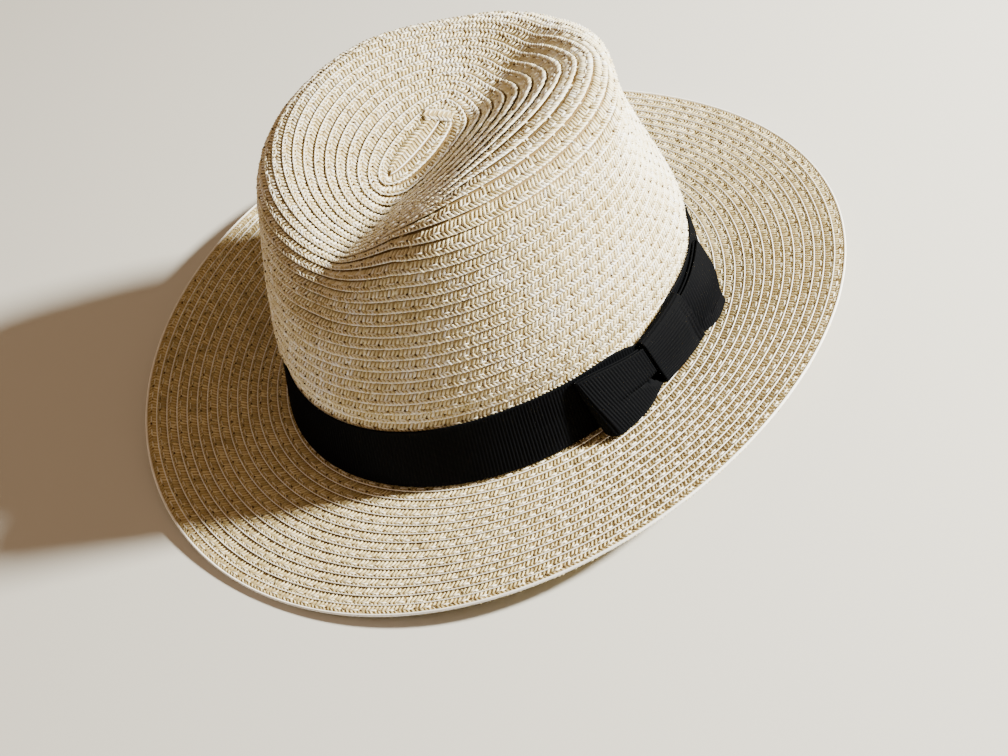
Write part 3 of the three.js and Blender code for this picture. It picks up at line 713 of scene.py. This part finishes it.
# Across the ribbon: a rounded selvedge, a fine groove beside it, and the ribbed field between
RIBBON_WIDTH = 27.0
RIBBON_ACROSS = np.array([0, 0.3, 0.7, 1.15, 7, 13.5, 20, 25.85, 26.3, 26.7, 27]) / RIBBON_WIDTH
RIBBON_FIELD = np.array([0, 0, 0, 1, 1, 1, 1, 1, 0, 0, 0.0])
RIBBON_HALF = np.array([0.18, 0.46, 0.40, 0.36, 0.36, 0.36, 0.36, 0.36, 0.40, 0.46, 0.18])

BAND_TRIALS = 20000  # points to measure its length by
band_around = np.linspace(0, 2 * np.pi, BAND_TRIALS, endpoint=False)
band_line = crown_face(band_around, BAND_HIGH / 2 + 0 * band_around)
band_walk = np.concatenate([[0], np.cumsum(np.linalg.norm(np.diff(band_line, axis=0), axis=-1))])
band_length = band_walk[-1] + np.linalg.norm(band_line[0] - band_line[-1])
band_ribs = round(band_length / RIB)
band_steps = np.linspace(0, band_length, band_ribs * RIB_SECTIONS, endpoint=False)
band_bearing = np.interp(band_steps, band_walk, band_around)[:, None]
band_aside = np.degrees(wrapped(band_bearing - np.radians(SQUEEZE_BEARING))) / SQUEEZE_WIDTH
band_top = BAND_HIGH - SQUEEZE_DEPTH * np.exp(-band_aside ** 2)
band_climb = BAND_LOW + (band_top - BAND_LOW) * RIBBON_ACROSS
band_middle = beside_crown(band_bearing, band_climb, GAP + RIBBON / 2 + 0 * band_climb)
hat_band = ribbon_mesh("hat_band_ribbon", band_middle, band_steps, RIBBON_FIELD, RIBBON_HALF, ring=True)
run_tree(hat_band, ribs, rib_spacing=band_length / band_ribs * MM, rib_height=RIB_HEIGHT * MM,
         cloth=grosgrain)
finish_piece(hat_band, "grosgrain_band", "hat_band")

# Bow: two loops of the same ribbon on the wearer's right, pressed flat along the top and flared at the
# bottom, tacked to the band, with a third length wrapped over their middle as the knot. The rear loop
# has its lower part tucked behind its upper part where it goes under the knot.
FOLD_FOOT, FOLD_TOP, MOUTH_FOOT, NARROWING = 1.6, 27.0, 3.2, 0.9  # a loop's edges at its two ends
LOOP_GAP, LOOP_PRESS, LOOP_MOUTH_FLARE, LOOP_DROP = 0.5, 1.5, 3.6, 0.15
PLEAT_SHARES, PLEAT_FALL = (0, 0.40, 0.44, 1), (0, 1.3, -1.3, 0)
PLEAT_RISE, PLEAT_LENGTH = (-1.0, -1.6, 0.3, 0), 0.8
# Where the lower part dips behind the upper
POCKET_START, POCKET_LENGTH, POCKET_EDGE, POCKET_FLOOR = 0.45, 0.28, 0.08, 1.2
KNOT_ARC, KNOT_WIDTH, KNOT_SLANT, KNOT_CORNER = 7, 29, 3, 1.4
KNOT_LOW, KNOT_TOP_REAR, KNOT_TOP_FRONT = 1, 23.4, 26.8
KNOT_OUT_REAR, KNOT_OUT_FRONT, KNOT_OUT_TOP = 7.5, 9.3, 3.4
KNOT_ROUNDING = 10  # passes that round its corners

ARC_BACK, ARC_MIDDLE, ARC_FRONT = 200, 270, 340  # bearings of the stretch of band that holds the bow
arc_bearings = np.radians(np.linspace(ARC_BACK, ARC_FRONT, 2801))
arc_reach = REACH + GAP + RIBBON
arc_line = np.stack([arc_reach * np.sin(arc_bearings), -(CORE + arc_reach) * np.cos(arc_bearings)], -1)
arc_walk = np.concatenate([[0], np.cumsum(np.linalg.norm(np.diff(arc_line, axis=0), axis=-1))])
arc_walk = arc_walk - np.interp(np.radians(ARC_MIDDLE), arc_bearings, arc_walk)


def bow_place(arc, climb, out):
    """A point of the bow: along the band from the wearer's right, forwards; up it; out from its face."""
    return beside_crown(np.interp(arc, arc_walk, arc_bearings), climb, GAP + RIBBON + out)


def between(start, end, share):
    return start + (end - start) * share


LOOP_ACROSS = np.linspace(0.08, 0.92, 15)  # more places across, for the bends of a loop
loop_across = np.unique(np.concatenate([RIBBON_ACROSS, LOOP_ACROSS, PLEAT_SHARES]))
loop_field = np.interp(loop_across, RIBBON_ACROSS, RIBBON_FIELD)
loop_half = np.interp(loop_across, RIBBON_ACROSS, RIBBON_HALF)


def add_loop(name, node, fold_low, fold_high, mouth, mouth_top, flare, pleat):
    """A loop that runs out from the knot (stages 0 to 1), round its fold (to 2) and back (to 3)."""
    way = np.sign(fold_high - mouth)
    turn_arc = between(fold_low, fold_high, loop_across) - way * between(flare, LOOP_PRESS, loop_across) / 2
    straight, bend = np.abs(turn_arc - mouth).mean(), np.pi / 4 * (flare + LOOP_PRESS)
    total = 2 * straight + bend
    along = np.linspace(0, total, int(total / RIB * RIB_SECTIONS))
    stage = np.interp(along, (0, straight, straight + bend, total), (0, 1, 2, 3))[:, None]
    near = np.where(stage < 1, 1 - stage, np.clip(stage - 2, 0, 1))
    turned = np.pi * np.clip(stage - 1, 0, 1)
    radius = between(between(flare, LOOP_MOUTH_FLARE, smooth(near) ** 2), LOOP_PRESS, loop_across) / 2
    bulge = radius * (1 - np.cos(turned))
    low = between(FOLD_FOOT, MOUTH_FOOT, near)
    high = between(FOLD_TOP, mouth_top, smooth(near / NARROWING))
    tuck = pleat * smooth(near / PLEAT_LENGTH) * (stage > 1)
    arc = between(turn_arc, mouth, near) + way * radius * np.sin(turned)
    climb = between(low, high, loop_across) - LOOP_DROP * bulge * (1 - loop_across)
    climb = climb + tuck * np.interp(loop_across, PLEAT_SHARES, PLEAT_FALL)
    out = LOOP_GAP + RIBBON / 2 + bulge + tuck * np.interp(loop_across, PLEAT_SHARES, PLEAT_RISE)
    opened = PLEAT_SHARES[1] * np.clip((near - POCKET_START) / POCKET_LENGTH, 0, 1)
    dipped = smooth((loop_across - PLEAT_SHARES[1] + opened) / POCKET_EDGE)
    dipped = dipped * (loop_across <= PLEAT_SHARES[1])
    pocket = pleat * dipped * (opened > 0) * (stage > 2)
    out = between(out, LOOP_GAP + RIBBON / 2 + POCKET_FLOOR, pocket)
    loop = ribbon_mesh(name, bow_place(arc, climb, out), along, loop_field, loop_half)
    run_tree(loop, ribs, rib_spacing=RIB * MM, rib_height=RIB_HEIGHT * MM, cloth=grosgrain)
    finish_piece(loop, "grosgrain_bow", node)
    return loop


rear_loop = add_loop("bow_rear_loop_ribbon", "bow_rear_loop", fold_low=-40, fold_high=-44, mouth=3,
                     mouth_top=20.8, flare=9.8, pleat=1)
front_loop = add_loop("bow_front_loop_ribbon", "bow_front_loop", fold_low=47, fold_high=53, mouth=15,
                      mouth_top=24, flare=11.2, pleat=0)

# Along the knot's front edge its turned-in layers lie side by side, with a groove between
LAYER_ACROSS = (0, 0.835, 0.855, 0.875, 0.905, 0.925, 0.945, 1)
LAYER_OUT = (0, 0, -1.0, 0, 0, -1.0, 0, 0)
knot_across = np.unique(np.concatenate([RIBBON_ACROSS, LAYER_ACROSS]))
knot_field = np.interp(knot_across, RIBBON_ACROSS, RIBBON_FIELD)
knot_half = np.interp(knot_across, RIBBON_ACROSS, RIBBON_HALF)
knot_top = between(KNOT_TOP_REAR, KNOT_TOP_FRONT, knot_across)
knot_low = KNOT_LOW + 0 * knot_top
knot_out = between(KNOT_OUT_REAR, KNOT_OUT_FRONT, knot_across)
knot_out = knot_out + np.interp(knot_across, LAYER_ACROSS, LAYER_OUT)
knot_climbs = np.array([knot_low, knot_low, knot_low + KNOT_CORNER, knot_top - KNOT_CORNER, knot_top,
                        knot_top])
knot_outs = np.array([GAP + 0 * knot_out, knot_out - KNOT_CORNER, knot_out, KNOT_OUT_TOP + 0 * knot_out,
                      KNOT_OUT_TOP - KNOT_CORNER + 0 * knot_out, GAP + 0 * knot_out])
knot_hops = np.hypot(np.diff(knot_climbs.mean(1)), np.diff(knot_outs.mean(1)))
knot_walk = np.concatenate([[0], np.cumsum(knot_hops)])
knot_along = np.linspace(0, knot_walk[-1], int(knot_walk[-1] / RIB * RIB_SECTIONS))
leg = np.clip(np.searchsorted(knot_walk, knot_along) - 1, 0, len(knot_hops) - 1)
part_way = ((knot_along - knot_walk[leg]) / knot_hops[leg])[:, None]
knot_climb = between(knot_climbs[leg], knot_climbs[leg + 1], part_way)
knot_out = between(knot_outs[leg], knot_outs[leg + 1], part_way)
for _ in range(KNOT_ROUNDING):
    for values in (knot_climb, knot_out):
        values[1:-1] = (values[:-2] + 2 * values[1:-1] + values[2:]) / 4
knot_arc = KNOT_ARC + KNOT_WIDTH * (knot_across - 0.5) + KNOT_SLANT * (0.5 - knot_climb / knot_top)
bow_knot = ribbon_mesh("bow_knot_ribbon", bow_place(knot_arc, knot_climb, knot_out), knot_along, knot_field,
                       knot_half)
run_tree(bow_knot, ribs, rib_spacing=RIB * MM, rib_height=RIB_HEIGHT * MM, cloth=grosgrain)
finish_piece(bow_knot, "grosgrain_bow", "bow_knot")

# Studio: a plain pale floor, a low light with a soft edge from the wearer's front right, a broad weak one
# opposite, and the camera high up behind the side with the bow.
FLOOR_SIZE = 2000  # from its middle to a side
floor = add_mesh("floor", [(-FLOOR_SIZE, -FLOOR_SIZE, 0), (FLOOR_SIZE, -FLOOR_SIZE, 0),
                           (FLOOR_SIZE, FLOOR_SIZE, 0), (-FLOOR_SIZE, FLOOR_SIZE, 0)], [(0, 1, 2, 3)])
# Uncoated backdrop paper: a pale grey with no gloss, so that only the hat's shadow shows on it.
paper = bpy.data.materials.new("matt backdrop paper")
paper.use_nodes = True
paper_surface = paper.node_tree.nodes["Principled BSDF"].inputs
paper_surface["Base Color"].default_value = hex_colour("#cfcfcd")
paper_surface["Roughness"].default_value = 0.9
floor.data.materials.append(paper)


def standing(across, over, back, eye):
    """Matrix of a light or camera at a point in millimetres that looks away from back."""
    rows = np.column_stack([across, over, back, np.array(eye) * MM])
    return Matrix(np.vstack([rows, (0, 0, 0, 1)]).tolist())


def add_light(name, eye, size, watts, code):
    """A round light that looks at the middle of the hat's foot."""
    lamp = bpy.data.lights.new(name, "AREA")
    lamp.shape, lamp.size, lamp.energy, lamp.color = "DISK", size * MM, watts, hex_colour(code)[:3]
    light = bpy.data.objects.new(name, lamp)
    back = np.array(eye, float) / np.linalg.norm(eye)
    right = np.cross((0, 0, 1), back)
    right = right / np.linalg.norm(right)
    light.matrix_world = standing(right, np.cross(back, right), back, eye)
    bpy.context.scene.collection.objects.link(light)


add_light("key light", (-977, -820, 721), size=180, watts=124, code="#fdf9e8")
add_light("fill light", (900, 900, 900), size=1400, watts=2.5, code="#ffe2c0")

# A warm room gives the hat its light in the shade, but past the floor a pale wall is seen in its place
world = bpy.data.worlds.new("studio")
world.use_nodes = True
room = world.node_tree
room.nodes.clear()
warm_room = add_node(room, "ShaderNodeBackground", {"Color": hex_colour("#ffd2a3"), "Strength": 0.33})
pale_wall = add_node(room, "ShaderNodeBackground", {"Color": hex_colour("#dedcd8"), "Strength": 2.0})
seen = add_node(room, "ShaderNodeLightPath").outputs["Is Camera Ray"]
around = add_node(room, "ShaderNodeMixShader", {0: seen, 1: warm_room.outputs[0], 2: pale_wall.outputs[0]})
add_node(room, "ShaderNodeOutputWorld", {"Surface": around.outputs[0]})
bpy.context.scene.world = world

# The camera's angles in degrees and its place in millimetres, fitted to the photograph's outlines
CAMERA_AZIMUTH, CAMERA_ELEVATION, CAMERA_ROLL = np.radians((-133.477, 43.076, -15.972))
CAMERA_DISTANCE, CAMERA_SIDE, CAMERA_RISE = 674.485, -3.958, -26.255
FOCAL_PIXELS, IMAGE_WIDTH = 1512.913, 1008
back = np.array([np.sin(CAMERA_AZIMUTH) * np.cos(CAMERA_ELEVATION),
                 -np.cos(CAMERA_AZIMUTH) * np.cos(CAMERA_ELEVATION), np.sin(CAMERA_ELEVATION)])
right = np.array([np.cos(CAMERA_AZIMUTH), np.sin(CAMERA_AZIMUTH), 0])
up = np.cross(back, right)
eye = back * CAMERA_DISTANCE + right * CAMERA_SIDE + up * CAMERA_RISE
across = np.cos(CAMERA_ROLL) * right + np.sin(CAMERA_ROLL) * up
over = np.cos(CAMERA_ROLL) * up - np.sin(CAMERA_ROLL) * right
lens = bpy.data.cameras.new("camera")
lens.sensor_width = 36
lens.lens = FOCAL_PIXELS * lens.sensor_width / IMAGE_WIDTH
lens.clip_start = 0.01
camera = bpy.data.objects.new("camera", lens)
camera.matrix_world = standing(across, over, back, eye)
bpy.context.scene.collection.objects.link(camera)
bpy.context.scene.camera = camera
